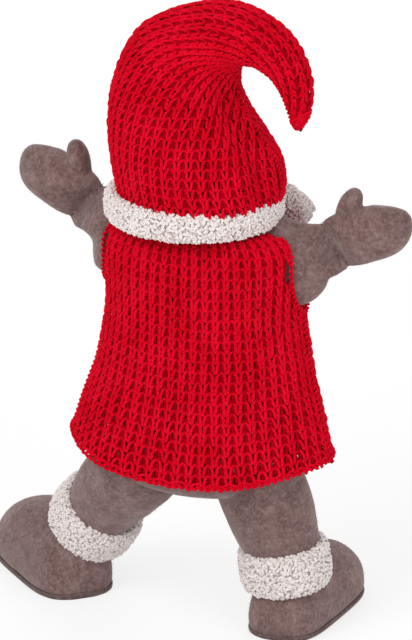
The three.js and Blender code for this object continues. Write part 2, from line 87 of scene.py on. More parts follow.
# The groove down the hat: degrees round it, z from and to, and over how much it fades out at both ends
GROOVE = {"angle": 158, "width": 9, "deep": 3.2, "low": 262, "high": 358, "fade": 20}
CUFF = {"inner": 21.6, "thick": 2.6, "half": 13.5}

# Tunic: z, half width, half depth
TUNIC_ROWS = np.array([
    [96, 85, 50], [114, 82.5, 48.5], [128, 79, 46.5], [144, 74.5, 45], [162, 69, 43.5], [187, 64.5, 42],
    [206, 62, 41.5], [230, 63, 41], [244, 62.5, 40], [251, 59, 38], [255, 53, 35], [256.6, 45, 32]], float)
# Height of the hem at each side and in the middle of the back and front, and how steeply it rises
HEM = {"left": 117.5, "right": 114.0, "middle": 102.0, "power": 1.6}
# The tunic's folds at the hem: how deep and how many; and how square its rings are
FOLD, FOLDS = 1.6, 6
TUNIC_POWER = 2.25
# Hat: x and z of its inner side, x and z of its outer side, half depth
HAT_ROWS = np.array([
    [-47.5, 262, 48.5, 262, 48], [-50.5, 276, 51, 276, 49.5], [-51, 288, 54, 288, 49.8],
    [-46.8, 300, 56, 300, 49], [-38.2, 313, 57, 313, 46.5], [-30, 325, 57, 325, 43],
    [-24.4, 337, 55.5, 337, 39.5], [-23.5, 347, 52.5, 348.5, 36], [-25, 354, 47, 362.5, 32.5],
    [-26.5, 356.5, 36.5, 376.3, 29], [-28.5, 357.2, 19, 386.2, 26], [-31.5, 357, -3, 393.5, 23.5],
    [-35, 356.3, -24, 394, 21], [-39, 354, -42, 387.5, 18.5], [-43.5, 350, -55.5, 378, 16],
    [-48, 344, -65, 365, 13.8], [-51.8, 336, -69.7, 351, 11.3], [-54.5, 328.5, -70, 338, 8.8],
    [-56.5, 322.8, -67.2, 327.6, 5.8], [-59.5, 319.8, -63, 321, 1.8]], float)


# Small maths

def unit(v):
    return v / np.maximum(np.linalg.norm(v, axis=-1, keepdims=True), 1e-9)


def bent(value, power):
    """A sine or cosine bent so that a round outline turns a little square."""
    return np.sign(value) * np.abs(value) ** (2.0 / power)


def soft_step(value):
    """From 0 to 1, level at both ends."""
    value = np.clip(value, 0, 1)
    return value * value * (3 - 2 * value)


def angles_round(count):
    return np.arange(count) / count * TURN


def between(a, b, share):
    return a * (1 - share) + b * share


def running_length(path):
    """How far along a path, or along each of many, its points lie."""
    steps = np.linalg.norm(np.diff(path, axis=-2), axis=-1)
    return np.concatenate([np.zeros_like(steps[..., :1]), np.cumsum(steps, axis=-1)], -1)


def interp_points(at, known, points):
    return np.stack([np.interp(at, known, points[:, axis]) for axis in range(3)], -1)


def curve_between(a, b, c, d, t):
    """A smooth curve from b to c, with a before and d after them."""
    bend, twist = 2 * a - 5 * b + 4 * c - d, 3 * b - a - 3 * c + d
    return 0.5 * (2 * b + (c - a) * t + bend * t * t + twist * t ** 3)


def smooth_rows(rows, steps):
    """Rows of numbers with that many steps of a smooth curve from each to the next."""
    rows = np.asarray(rows, float)
    last = len(rows) - 1
    out = []
    for i in range(last):
        a, b, c, d = (rows[min(max(k, 0), last)] for k in (i - 1, i, i + 1, i + 2))
        out += [curve_between(a, b, c, d, k / steps) for k in range(steps)]
    out.append(rows[-1])
    return np.array(out)


def read_rows(rows, z, column):
    """One column of a table of rows at any height."""
    z = np.clip(z, rows[0, 0], rows[-1, 0])
    i = np.clip(np.searchsorted(rows[:, 0], z, side="left") - 1, 0, len(rows) - 2)
    t = (z - rows[i, 0]) / (rows[i + 1, 0] - rows[i, 0])
    a, b, c, d = (rows[np.clip(k, 0, len(rows) - 1), column] for k in (i - 1, i, i + 1, i + 2))
    return curve_between(a, b, c, d, t)


def oval(centre, u, v, a, b, sides, power=2.0):
    angle = angles_round(sides)
    c, s = bent(np.cos(angle), power), bent(np.sin(angle), power)
    return np.asarray(centre) + np.outer(c * a, u) + np.outer(s * b, v)


# Mesh building

def make_mesh(name, material, points, faces, uv=None):
    """An object from points in the doll's own mm, quads and, on yarn, places along it."""
    mesh = bpy.data.meshes.new(name)
    points = np.asarray(points, float) + SHIFT
    faces = np.asarray(faces, np.int32)
    corners = faces.shape[1]
    mesh.vertices.add(len(points))
    mesh.vertices.foreach_set("co", (points / MM_PER_M).astype(np.float32).ravel())
    mesh.loops.add(faces.size)
    mesh.loops.foreach_set("vertex_index", faces.ravel())
    mesh.polygons.add(len(faces))
    mesh.polygons.foreach_set("loop_start", np.arange(0, faces.size, corners, dtype=np.int32))
    mesh.polygons.foreach_set("loop_total", np.full(len(faces), corners, np.int32))
    mesh.update(calc_edges=True)
    if uv is not None:
        layer = mesh.uv_layers.new(name="UVMap")
        layer.data.foreach_set("uv", np.asarray(uv, np.float32)[faces.ravel()].ravel())
    mesh.polygons.foreach_set("use_smooth", np.full(len(faces), True))
    mesh.materials.append(material)
    obj = bpy.data.objects.new(name, mesh)
    bpy.context.scene.collection.objects.link(obj)
    return obj


def grid_quads(rows, columns, closed_columns=True, closed_rows=False):
    r = np.arange(rows if closed_rows else rows - 1)
    c = np.arange(columns if closed_columns else columns - 1)
    rr, cc = np.meshgrid(r, c, indexing="ij")
    r2, c2 = (rr + 1) % rows, (cc + 1) % columns
    quads = [rr * columns + cc, rr * columns + c2, r2 * columns + c2, r2 * columns + cc]
    return np.stack(quads, -1).reshape(-1, 4)


def repeated(quads, count, points):
    """The same quads for each of so many forms of so many points."""
    return (quads + (np.arange(count) * points)[:, None, None]).reshape(-1, 4)


def skin(rings, looped=False):
    """Points and quads over a stack of rings; the ends are drawn to a point."""
    if not looped:
        tips = [np.broadcast_to(ring.mean(axis=0), ring.shape)[None] for ring in (rings[0], rings[-1])]
        rings = np.concatenate([tips[0], rings, tips[1]])
    count, sides = rings.shape[:2]
    return rings.reshape(-1, 3), grid_quads(count, sides, True, looped)


def tubes(paths, normals, radius, sides):
    """Yarn round many paths at once: paths is (count, points, 3), with the surface's normals there."""
    paths = np.asarray(paths, float)
    count, points = paths.shape[:2]
    along = unit(np.gradient(paths, axis=1))
    across = unit(np.cross(along, normals))
    upward = np.cross(across, along)
    radius = np.broadcast_to(np.asarray(radius, float), (count, points))
    angle = angles_round(sides)
    ring = across[:, :, None] * np.cos(angle)[:, None] + upward[:, :, None] * np.sin(angle)[:, None]
    verts = paths[:, :, None] + ring * radius[:, :, None, None]
    quads = repeated(grid_quads(points, sides), count, points * sides)
    uv = np.stack(np.broadcast_arrays(running_length(paths)[:, :, None], angle / TURN), -1)
    return verts.reshape(-1, 3), quads, uv.reshape(-1, 2)


def join_parts(parts):
    """Several sets of points, faces and, where they have them, places along the yarn, as one set."""
    offsets = np.cumsum([0] + [len(part[0]) for part in parts[:-1]])
    points = np.concatenate([part[0] for part in parts])
    faces = np.concatenate([part[1] + offset for part, offset in zip(parts, offsets)])
    return points, faces, *(np.concatenate(extra) for extra in zip(*(part[2:] for part in parts)))


# A surface measured out in millimetres, on which stitches are laid

class Cloth:
    """Rings of points. s runs round a ring in mm, both ways from its start point, and t counts rings."""

    STEP = 0.5
    SPARE = 12

    def __init__(self, rings, start, wale=0.0, wales=None, share=1.0):
        self.rows = len(rings)
        loops = [np.concatenate([ring[start:], ring[:start + 1]]) for ring in rings]
        lengths = [running_length(loop) for loop in loops]
        whole = np.array([length[-1] / 2 for length in lengths])
        self.half = whole * share
        self.middle = rings.mean(axis=1)
        self.wale = wale
        self.wales = wales
        self.reach = whole.max() + self.SPARE
        s = np.arange(-self.reach, self.reach + self.STEP, self.STEP)
        wrapped = [np.mod(s, length[-1]) for length in lengths]
        self.table = np.array([interp_points(*row) for row in zip(wrapped, lengths, loops)])

    def at(self, s, t):
        x = (np.clip(s, -self.reach, self.reach - self.STEP) + self.reach) / self.STEP
        y = np.clip(t, 0, self.rows - 1.0001)
        i, j = np.floor(y).astype(int), np.minimum(np.floor(x).astype(int), self.table.shape[1] - 2)
        fy, fx = (y - i)[..., None], (x - j)[..., None]
        low, high = (between(self.table[k, j], self.table[k, j + 1], fx) for k in (i, i + 1))
        return between(low, high, fy)

    def wale_at(self, t):
        """The width of a wale: even where no count is set, and else the cloth's width shared out."""
        return self.half_at(t) / self.wales if self.wales else np.full(np.shape(t), self.wale)

    def half_at(self, t):
        return np.interp(t, np.arange(self.rows), self.half)

    def normal(self, s, t, ds=1.2, dt=0.35):
        round_it = self.at(s + ds, t) - self.at(s - ds, t)
        up_it = self.at(s, t + dt) - self.at(s, t - dt)
        n = unit(np.cross(round_it, up_it))
        middle = interp_points(t, np.arange(self.rows), self.middle)
        flip = np.sign((n * (self.at(s, t) - middle)).sum(-1, keepdims=True))
        return n * np.where(flip == 0, 1, flip)


def lay(cloth, s, t, lift):
    """Points lifted off the cloth, and the cloth's normals there."""
    s, t = np.broadcast_arrays(s, t)
    n = cloth.normal(s, t)
    return cloth.at(s, t) + n * lift[..., None], n


# Materials

def new_material(name):
    material = bpy.data.materials.new(name)
    material.use_nodes = True
    tree = material.node_tree
    return material, tree, tree.nodes["Principled BSDF"]


def add_node(tree, kind, **inputs):
    """A node whose named inputs are linked to an output or set to a value."""
    node = tree.nodes.new(kind)
    for name, value in inputs.items():
        if isinstance(value, bpy.types.NodeSocket):
            tree.links.new(value, node.inputs[name])
        else:
            node.inputs[name].default_value = value
    return node


def ramp(tree, source, stops):
    node = add_node(tree, "ShaderNodeValToRGB", Fac=source)
    elements = node.color_ramp.elements
    for position, _ in stops[1:-1]:
        elements.new(position)
    for element, (position, colour) in zip(elements, stops):
        element.position = position
        element.color = (*colour, 1)
    return node.outputs[0]


def noise(tree, scale, detail, roughness, stretch=None):
    at = tree.nodes.new("ShaderNodeTexCoord").outputs["Object"]
    if stretch:
        turned = (0.5, 0.4, 0.7)
        at = add_node(tree, "ShaderNodeMapping", Vector=at, Scale=stretch, Rotation=turned).outputs[0]
    node = add_node(tree, "ShaderNodeTexNoise", Vector=at, Scale=scale, Detail=detail, Roughness=roughness)
    return node.outputs["Fac"]


def dress(tree, shader, layers, values, bumps=()):
    """Layers of colour, each a source, its stops and its share, then the shader's own values and its bump."""
    base = None
    for source, stops, share in layers:
        colour = ramp(tree, source, stops)
        if base is not None:
            mix = tree.nodes.new("ShaderNodeMix")
            mix.data_type = "RGBA"
            factor, under, over, mixed = mix.inputs[0], mix.inputs[6], mix.inputs[7], mix.outputs[2]
            factor.default_value = share
            tree.links.new(base, under)
            tree.links.new(colour, over)
            colour = mixed
        base = colour
    tree.links.new(base, shader.inputs["Base Color"])
    for name, value in values.items():
        shader.inputs[name].default_value = value
    if bumps:
        bump(tree, shader, bumps)


def bump(tree, shader, layers):
    """Stacks layers of bump: height, distance in m and strength."""
    last = None
    for height, distance, strength in layers:
        node = add_node(tree, "ShaderNodeBump", Height=height, Distance=distance, Strength=strength)
        if last:
            tree.links.new(last, node.inputs["Normal"])
        last = node.outputs[0]
    tree.links.new(last, shader.inputs["Normal"])


def felt_material(name, dark, middle, light, sheen=0.35):
    """Pressed wool: soft patches, fine drawn-out fibres and specks."""
    material, tree, shader = new_material(name)
    patches = noise(tree, scale=95, detail=5, roughness=0.65)
    fibres = noise(tree, scale=900, detail=3, roughness=0.7, stretch=(1.0, 0.25, 0.6))
    specks = noise(tree, scale=420, detail=2, roughness=0.5)
    colours = [
        (patches, [(0.34, dark), (0.5, middle), (0.68, light)], 1.0),
        (fibres, [(0.35, dark), (0.52, middle), (0.66, light)], 0.45),
        (specks, [(0.4, dark), (0.62, light)], 0.25)]
    values = {"Roughness": 0.95, "Specular IOR Level": 0.15, "Sheen Weight": sheen, "Sheen Roughness": 0.5,
              "Sheen Tint": (0.85, 0.78, 0.76, 1)}
    bumps = [(patches, 0.0012, 0.5), (fibres, 0.0004, 0.8), (specks, 0.0005, 0.5)]
    dress(tree, shader, colours, values, bumps)
    return material


def yarn_material(name, dark, middle, light, ply, sheen, gloss=0.2):
    """Yarn whose plies run slantwise round it, with painted shade in the grooves between them; ply is how
    deep they are.
    """
    material, tree, shader = new_material(name)
    along = tree.nodes.new("ShaderNodeTexCoord").outputs["UV"]
    along = add_node(tree, "ShaderNodeMapping", Vector=along, Scale=(1.0 / PLY_LENGTH, 1.0, 1.0)).outputs[0]
    wave = add_node(tree, "ShaderNodeTexWave", Vector=along, Scale=0.62, Distortion=1.2, Detail=2)
    wave.bands_direction = "DIAGONAL"
    plies = wave.outputs["Fac"]
    strands = noise(tree, scale=1500, detail=2, roughness=0.6)
    blotch = noise(tree, scale=60, detail=3, roughness=0.5)
    colours = [
        (strands, [(0.3, dark), (0.5, middle), (0.7, light)], 1.0),
        # The grooves between the plies are darkened: painted shade.
        (plies, [(0.15, dark), (0.6, middle)], 0.35),
        (blotch, [(0.35, dark), (0.65, light)], 0.25)]
    values = {"Roughness": 0.8, "Specular IOR Level": gloss, "Sheen Weight": sheen, "Sheen Roughness": 0.4,
              "Sheen Tint": (*light, 1)}
    dress(tree, shader, colours, values, [(plies, 0.0005, ply), (strands, 0.0003, 0.7)])
    return material


def bead_material():
    material, tree, shader = new_material("black_bead")
    tint = noise(tree, scale=300, detail=1, roughness=0.5)
    black = [(0.3, (0.006, 0.006, 0.007)), (0.7, (0.014, 0.013, 0.013))]
    dress(tree, shader, [(tint, black, 1.0)], {"Roughness": 0.12})
    return material


# Each has a dark, a middle and a light colour
FELT = felt_material("grey_brown_felt", (0.094, 0.05, 0.046), (0.178, 0.106, 0.1), (0.31, 0.215, 0.205))
# The sole is the body felt made darker: painted shade on its underside.
SOLE_PAINTED_SHADE = felt_material("sole_felt_painted_shade", (0.075, 0.045, 0.042), (0.135, 0.085, 0.08), (0.22, 0.155, 0.15), 0.2)
NOSE = felt_material("nose_felt", (0.3, 0.12, 0.09), (0.42, 0.19, 0.15), (0.55, 0.3, 0.25))
CREAM_BASE = felt_material("cream_backing", (0.7, 0.61, 0.58), (0.83, 0.76, 0.73), (0.89, 0.84, 0.82), 0.2)
# The hat's filling is the body felt made lighter: painted light where it shows through the knit's windows.
HAT_FELT_PAINTED_LIGHT = felt_material("hat_felt_painted_light", (0.22, 0.13, 0.12), (0.38, 0.26, 0.24), (0.52, 0.4, 0.38), 0.3)
RED = yarn_material("red_yarn", (0.48, 0.0, 0.006), (0.72, 0.0, 0.012), (0.88, 0.006, 0.04),
                    ply=0.9, sheen=0.7, gloss=0.04)
# A darker copy of the red yarn with almost no sheen: painted shade for the strands set back in the windows
# and for the knit's inner face.
RED_PAINTED_SHADE = yarn_material("red_yarn_painted_shade", (0.2, 0.0, 0.003), (0.44, 0.0, 0.008), (0.6, 0.002, 0.014),
                         ply=0.9, sheen=0.05, gloss=0.02)
# The loose fibres are the red yarn made lighter and pinker: painted highlight on the fuzz.
RED_FUZZ_PAINTED_HIGHLIGHT = yarn_material("red_loose_fibres_painted_highlight", (0.6, 0.01, 0.02), (0.82, 0.03, 0.05), (0.9, 0.12, 0.14),
                         ply=0.3, sheen=0.5)
CREAM = yarn_material("cream_curls", (0.76, 0.67, 0.64), (0.83, 0.765, 0.745), (0.89, 0.845, 0.83),
                      ply=0.4, sheen=0.4)
THREAD = yarn_material("felt_thread", (0.06, 0.04, 0.035), (0.1, 0.07, 0.06), (0.16, 0.12, 0.11),
                       ply=0.5, sheen=0.1)
BEAD = bead_material()


# Forms shared with the solids

def tunic_ring(share, inset, sides=240):
    """One ring of the tunic, from its wavy hem at share 0 to its top at share 1."""
    angle = angles_round(sides)
    corner = np.where(np.cos(angle) > 0, HEM["left"], HEM["right"])
    hem = HEM["middle"] + (corner - HEM["middle"]) * np.abs(np.cos(angle)) ** HEM["power"]
    z = hem + (TUNIC_ROWS[-1, 0] - hem) * share
    half_x = read_rows(TUNIC_ROWS, z, 1) - inset
    half_y = read_rows(TUNIC_ROWS, z, 2) - inset
    fold = FOLD * (1 - share) ** 2 * np.cos(FOLDS * angle + 0.6)
    x = lean(z) + (half_x + fold * 0.6) * bent(np.cos(angle), TUNIC_POWER)
    y = (half_y + fold) * bent(np.sin(angle), TUNIC_POWER)
    return np.stack([x, y, z], -1)


def lean(z):
    return LEAN * soft_step((z - LEAN_FROM) / LEAN_OVER)


def hat_rings(inset, steps, sides):
    """The hat's rings, with the soft groove that its bend presses into the inner side."""
    angle = angles_round(sides)
    across = (np.degrees(angle) - GROOVE["angle"]) / GROOVE["width"]
    rings = []
    for x1, z1, x2, z2, depth in smooth_rows(HAT_ROWS, steps):
        middle, across_it = np.array([x1 + x2, 0, z1 + z2]) / 2, np.array([x2 - x1, 0, z2 - z1])
        half = max(0.4, np.linalg.norm(across_it) / 2 - inset)
        ring = oval(middle, unit(across_it), Y_AXIS, half, max(0.4, depth - inset), sides)
        into, out_of = (z1 - GROOVE["low"]) / GROOVE["fade"], (GROOVE["high"] - z1) / GROOVE["fade"]
        sunk = GROOVE["deep"] * np.exp(-across ** 2) * (np.clip(into, 0, 1) * np.clip(out_of, 0, 1))
        rings.append(ring - unit(ring - middle) * sunk[:, None])
    return np.array(rings)


def trim_height(angle):
    """Height of the brim's middle: low behind and at the sides, rising from there to the face."""
    rise_from = 0.5
    share = soft_step((-np.sin(angle) - rise_from) / (1 - rise_from))
    return TRIM["low"] + (TRIM["high"] - TRIM["low"]) * share


def stuffed(rows, side, sides):
    """Rings along a bent line: rows of x, y, z and two half widths."""
    rows = smooth_rows(rows, 3)
    centres = rows[:, :3]
    along = unit(np.gradient(centres, axis=0))
    v = unit(np.cross(along, side))
    u = np.cross(v, along)
    return np.array([oval(centres[i], u[i], v[i], *rows[i, 3:], sides) for i in range(len(rows))])


def lumpy(points, amount, size, seed):
    """Small soft bulges, as stuffing makes: a sum of slow waves, pushed outward from the middle."""
    local = np.random.default_rng(seed)
    count = 7
    waves = np.zeros(len(points))
    for _ in range(count):
        direction = unit(local.normal(size=3)) / size
        waves += np.sin(points @ direction * TURN + local.uniform(0, 6.28))
    centre = points.mean(axis=0)
    return points + unit(points - centre) * (waves / count * amount)[:, None]


# Knitted cloth

# Half a stitch of the rib, from the foot of its V to the middle of the next bow:
# across in wales, up in courses, lift in mm
HALF_STITCH = np.array([
    [0.0, -0.42, -0.9], [0.075, -0.34, -0.5], [0.12, -0.18, -0.12], [0.145, 0.0, 0.0], [0.165, 0.2, -0.05],
    [0.205, 0.42, -0.35], [0.29, 0.6, -0.95], [0.39, 0.67, -1.6], [0.50, 0.69, -1.9]])
STITCH = np.concatenate([HALF_STITCH[:0:-1] * [-1, 1, 1], HALF_STITCH])
# The purl side shows in the window between two wales as upright strands set back:
# across in mm, up in courses, lift in mm
BEHIND = np.array([
    [0.0, -0.5, -2.2], [0.4, -0.1, -1.4], [0.5, 0.3, -1.25], [0.3, 0.7, -1.6], [0.0, 1.0, -2.3]])
# Width of a rib pair and height of a course
WALE = 8.4
HAT_WALE, HAT_COURSE = 7.5, 5.9
# How much a stitch strays: up in courses, across in wales, lift and wobble in mm, and in thickness
STRAY = {"up": 0.045, "across": 0.028, "lift": 0.14, "stitch": 0.05, "yarn": 0.06, "wobble": 0.09}
STRAND = {"yarn": 0.8, "up": 0.04, "across": 0.16}
FIBRE_WIDTH = 0.06
KNIT_FIBRES = {"count": 26000, "length": 3.0}


def cells(cloth, marks, heights, keep):
    """Where the stitches go: wale, t and height of each. Crowded courses are taken two or four together."""
    most, narrowest = 30, 4.5
    out = []
    for i, (mark, height) in enumerate(zip(marks, heights)):
        reach, wale = float(cloth.half_at(mark)), float(cloth.wale_at(mark))
        if reach < narrowest:
            continue
        k = np.arange(-most, most + 1.0)
        k = k[np.abs(k) < reach / wale - 0.05]
        t = np.full(len(k), mark)
        foot = cloth.at(k * wale, t)
        tall = np.linalg.norm(cloth.at(k * wale, t + height) - foot, axis=1) / HAT_COURSE
        together = np.where(tall < 0.22, 4, np.where(tall < 0.45, 2, 1))
        stay = keep(foot) & (i % together == 0)
        out.append(np.stack([k, t, height * together], -1)[stay])
    return np.concatenate(out)


def knit(cloth, places, seed, yarn, strands):
    """The rib's yarn over a cloth: the stitches in front, and the strands that show in their windows."""
    local = np.random.default_rng(seed)
    k, t, h = (places[:, i:i + 1] for i in range(3))
    n = len(places)
    stray = lambda amount: local.normal(0, amount, (n, 1))
    inner = np.cos(STITCH[:, 0] * math.pi)[None]
    k = k + 0.065 * np.sin(t / h * 0.4 + k * 0.5)
    up = t + (STITCH[None, :, 1] + stray(STRAY["up"]) * inner) * h
    across = (k + STITCH[None, :, 0] + stray(STRAY["across"]) * inner) * cloth.wale_at(up)
    lift = STITCH[None, :, 2] + stray(STRAY["lift"]) * inner
    paths, normals = lay(cloth, across, up, lift)
    uneven = 1 + stray(STRAY["stitch"]) + local.normal(0, STRAY["yarn"], paths.shape[:2])
    paths = paths + local.normal(0, STRAY["wobble"], paths.shape)
    front = tubes(paths, normals, yarn * uneven, 7)
    behind = []
    for offset in strands:
        up = t + (BEHIND[None, :, 1] + stray(STRAND["up"])) * h
        aside = offset + BEHIND[None, :, 0] * np.sign(offset + 0.01) + stray(STRAND["across"])
        across = (k + 0.5 + aside / WALE) * cloth.wale_at(up)
        fits = (np.abs(across) < cloth.half_at(up) + 0.5).all(axis=1)
        lift = np.broadcast_to(BEHIND[None, :, 2], across.shape)
        behind.append(tubes(*lay(cloth, across[fits], up[fits], lift[fits]), STRAND["yarn"], 5))
    return front, join_parts(behind)


def ground(cloth, marks, keep, inset, gaps, seed):
    """The knit's thin inner face, one layer, with small openings where the windows let the felt show."""
    local = np.random.default_rng(seed)
    cuts = 4
    solid_rows = 2 * cuts
    marks = np.concatenate([[max(0.2, 2 * marks[0] - marks[1])], marks])
    t = np.interp(np.arange((len(marks) - 1) * cuts + 1) / cuts, np.arange(len(marks)), marks)
    span = int(np.max(cloth.half / cloth.wale_at(np.arange(cloth.rows))) * cuts) + 1
    k, t = np.meshgrid(np.arange(-span, span + 1) / cuts, t)
    s = k * cloth.wale_at(t)
    points, _ = lay(cloth, s, t, np.full(s.shape, -inset))
    points = points.reshape(-1, 3)
    good = (np.abs(s) < cloth.half_at(t)).ravel() & keep(points)
    quads = grid_quads(s.shape[0], s.shape[1], closed_columns=False)
    row, column = np.divmod(quads[:, 0], s.shape[1])
    window = np.isin((column - span) % cuts, (1, 2)) & (row % cuts != cuts - 1) & (row >= solid_rows)
    left_out = window & (local.uniform(size=len(quads)) < gaps)
    used, quads = np.unique(quads[good[quads].all(axis=1) & ~left_out], return_inverse=True)
    return points[used], quads.reshape(-1, 4)


def show_knit(name, node, yarn, inner_face, edges, seed):
    """One knitted cloth: its inner face and the yarn on it, all riding on the body."""
    # The sheet and the set-back strands take the red with painted shade.
    sheet = make_mesh(name + "_cloth", RED_PAINTED_SHADE, *inner_face)
    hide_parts(node)
    stitches = make_mesh(name + "_stitches", RED, *yarn[0])
    strands = make_mesh(name + "_strands", RED_PAINTED_SHADE, *yarn[1])
    at, n = surface_samples(stitches)
    fibres = make_mesh(name + "_loose_fibres", RED_FUZZ_PAINTED_HIGHLIGHT, *fuzz(at, n, KNIT_FIBRES, seed))
    edges = make_mesh(name + "_edges", RED, *edges)
    carried = [stitches, strands, fibres, edges]
    for piece in [sheet] + carried:
        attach(piece, "body")
    return sheet, carried


def fuzz(points, normals, fibres, seed):
    """Loose fibres: thin curved ribbons that stand off a surface."""
    local = np.random.default_rng(seed)
    count = fibres["count"]
    pick = local.integers(0, len(points), count)
    base, n = points[pick], normals[pick]
    slant = unit(n * local.uniform(0.15, 1.0, (count, 1)) + unit(local.normal(size=(count, 3))))
    curl = unit(local.normal(size=(count, 3)))
    reach = fibres["length"] * local.uniform(0.35, 1.0, (count, 1))
    steps = [base + slant * reach * k + curl * reach * 0.35 * k * k for k in (0.0, 0.35, 0.7, 1.0)]
    wide = unit(np.cross(slant, curl)) * FIBRE_WIDTH / 2
    sides = [p + wide * side * (1.2 - k * 0.3) for k, p in enumerate(steps) for side in (-1, 1)]
    verts = np.stack(sides, 1)
    ribbon = np.array([[0, 1, 3, 2], [2, 3, 5, 4], [4, 5, 7, 6]])
    uv = np.tile(np.array([[0, 0.2], [0, 0.8]] * len(steps)), (count, 1))
    return verts.reshape(-1, 3), repeated(ribbon, count, len(sides)), uv


def whip(path, normals, radius, pitch, yarn):
    """Yarn wound along an edge in a close spiral, as a rolled or overcast edge looks."""
    per_turn = 9
    length = running_length(path)
    turns = max(2, int(length[-1] / pitch))
    u = np.linspace(0, length[-1], turns * per_turn + 1)
    middle = interp_points(u, length, path)
    n = unit(interp_points(u, length, normals))
    b = unit(np.cross(unit(np.gradient(middle, axis=0)), n))
    phase = (u / length[-1] * turns * TURN)[:, None]
    wound = middle + (n * np.cos(phase) + b * np.sin(phase)) * radius
    return tubes(wound[None], n[None], yarn, 6)


# Curly fleece

CURL = {"radius": 1.0, "yarn": 0.9, "steps": 7, "sides": 6, "spacing": 1.85}


def curls(points, normals, seed):
    """One small loop of yarn at each point, each turned its own way."""
    local = np.random.default_rng(seed)
    n, size, steps = len(points), CURL["radius"], CURL["steps"]
    tangent = unit(np.cross(normals, unit(local.normal(size=(n, 3)))))
    slant = unit(normals + tangent * local.uniform(-0.9, 0.9, (n, 1)))
    side = unit(np.cross(slant, tangent))
    angle = np.linspace(-0.4, TURN * 1.12, steps)[None, :] + local.uniform(0, 6.28, (n, 1))
    radius = size * local.uniform(0.72, 1.25, (n, 1))
    centre = points + normals * (local.uniform(-0.2, 0.6, (n, 1)) * size)
    climb = np.linspace(-0.6, 0.6, steps)[None, :] * size
    paths = (centre[:, None] + tangent[:, None] * (np.cos(angle) * radius)[..., None]
             + slant[:, None] * (np.sin(angle) * radius)[..., None] + side[:, None] * climb[..., None])
    thick = CURL["yarn"] * local.uniform(0.8, 1.2, (n, 1))
    return tubes(paths, side[:, None], thick, CURL["sides"])


def scatter(rings, spacing, seed, looped):
    """Points over a stack of rings about that far apart, with outward normals."""
    local = np.random.default_rng(seed)
    if looped:
        rings = np.concatenate([rings, rings[:1]])
    centres = rings.mean(axis=1)
    points, normals = [], []
    for r in range(len(rings) - 1):
        a, b = rings[r], rings[r + 1]
        a2, b2 = np.roll(a, -1, axis=0), np.roll(b, -1, axis=0)
        lower, upper = np.cross(a2 - a, b2 - a), np.cross(b - a, b2 - a)
        area = 0.5 * np.linalg.norm(lower, axis=1) + 0.5 * np.linalg.norm(upper, axis=1)
        want = area / spacing ** 2
        count = np.floor(want + local.uniform(size=len(want))).astype(int)
        which = np.repeat(np.arange(len(a)), count)
        u, v = local.uniform(size=(2, len(which), 1))
        p = between(between(a[which], a2[which], u), between(b[which], b2[which], u), v)
        n = unit(np.cross(a2[which] - a[which], b[which] - a[which]))
        middle = between(centres[r], centres[r + 1], v)
        n = n * np.sign((n * (p - middle)).sum(1, keepdims=True) + 1e-6)
        points.append(p)
        normals.append(n)
    return np.concatenate(points), np.concatenate(normals)


def fleece(name, rings, looped, body, nodes, seed, hidden):
    """A fleece piece: a soft backing that fills the solid's form, covered with curls where they show."""
    points, quads = skin(rings, looped)
    backing = make_mesh(name, CREAM_BASE, lumpy(points, 0.8, 9, seed), quads)
    at, n = scatter(rings, CURL["spacing"], seed + 1, looped)
    shown = ~hidden(at)
    pile = make_mesh(name + "_curls", CREAM, *curls(at[shown], n[shown], seed + 2))
    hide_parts(*nodes)
    for piece in (backing, pile):
        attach(piece, body)


# Head, body and limbs

NAP_SPACING = 1.2


def felt_piece(name, rings, nodes, seed, amount, size=22, fuzzy=0, material=FELT):
    """A stuffed felt form over rings, and its nap where it has that many fibres."""
    points, quads = skin(rings)
    piece = make_mesh(name, material, lumpy(points, amount, size, seed), quads)
    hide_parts(*nodes)
    if not fuzzy:
        return [piece]
    at, n = scatter(rings, NAP_SPACING, seed + 5, False)
    hair = make_mesh(name + "_nap", material, *fuzz(at, n, {"count": fuzzy, "length": 1.7}, seed + 6))
    return [piece, hair]


def ride_on(body, pieces):
    for piece in pieces:
        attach(piece, body)


def sphere_rings(centre, rx, ry, rz, rings=28, sides=48):
    out = []
    for k in range(1, rings):
        a = math.pi * k / rings
        middle = np.asarray(centre) + [0, 0, rz * math.cos(a)]
        out.append(oval(middle, X_AXIS, Y_AXIS, rx * math.sin(a), ry * math.sin(a), sides))
    return np.array(out)


def arm_frame(name, sign):
    a = math.radians(RAISE[name])
    out = np.array([sign * math.cos(a), 0, math.sin(a)])
    up = np.array([-sign * math.sin(a), 0, math.cos(a)])
    x, z, _ = SHOULDER[name]
    return out, up, np.array([x, SHOULDER["y"], z])


# Rows along an arm: way out, y, way up across it and two half widths. These start from the wrist seam
HAND = [
    [0.9, -11.1, -7, 16.2, 1.5], [2.4, -11, -7.2, 16.6, 3.4], [6, -11.2, -7.8, 17.2, 7.8],
    [11, -11.6, -9, 17.4, 11], [18, -12.2, -10.8, 17, 13.2], [25, -13, -12.4, 17, 13.8],
    [32, -13.8, -13.8, 16.2, 13.2], [38, -14.6, -15, 13.4, 11.2], [43, -15.4, -15.4, 9.8, 8.4],
    [46.8, -16, -15.1, 5.6, 4.9], [48.4, -16.2, -14.8, 1.8, 1.6]]
THUMB = [
    [6, -11.5, -3, 6, 5.5], [13, -11.5, 2.8, 8.4, 7.6], [19.5, -11.7, 7.6, 8.2, 7.8],
    [25, -12, 10.4, 7.1, 7.2], [29.5, -12.2, 11.9, 5.2, 5.2], [32, -12.3, 12.4, 2, 2]]
# The thin pressed felt at the seam
WEB = [[-2.5, -10.8, -7, 15.6, 1.6], [0, -11, -7, 15.8, 1.3], [2.5, -11.1, -7, 15.6, 1.6]]


def arm_rings(place, rows, sides=44, start=0.0):
    out, up, origin = place
    rows = [[start + row[0], *row[1:]] for row in rows]
    rings = []
    for x, y, z, a, b in smooth_rows(rows, 3):
        centre = origin + out * x + up * z + Y_AXIS * y
        rings.append(oval(centre, up, Y_AXIS, max(a, 0.2), max(b, 0.2), sides))
    return np.array(rings)


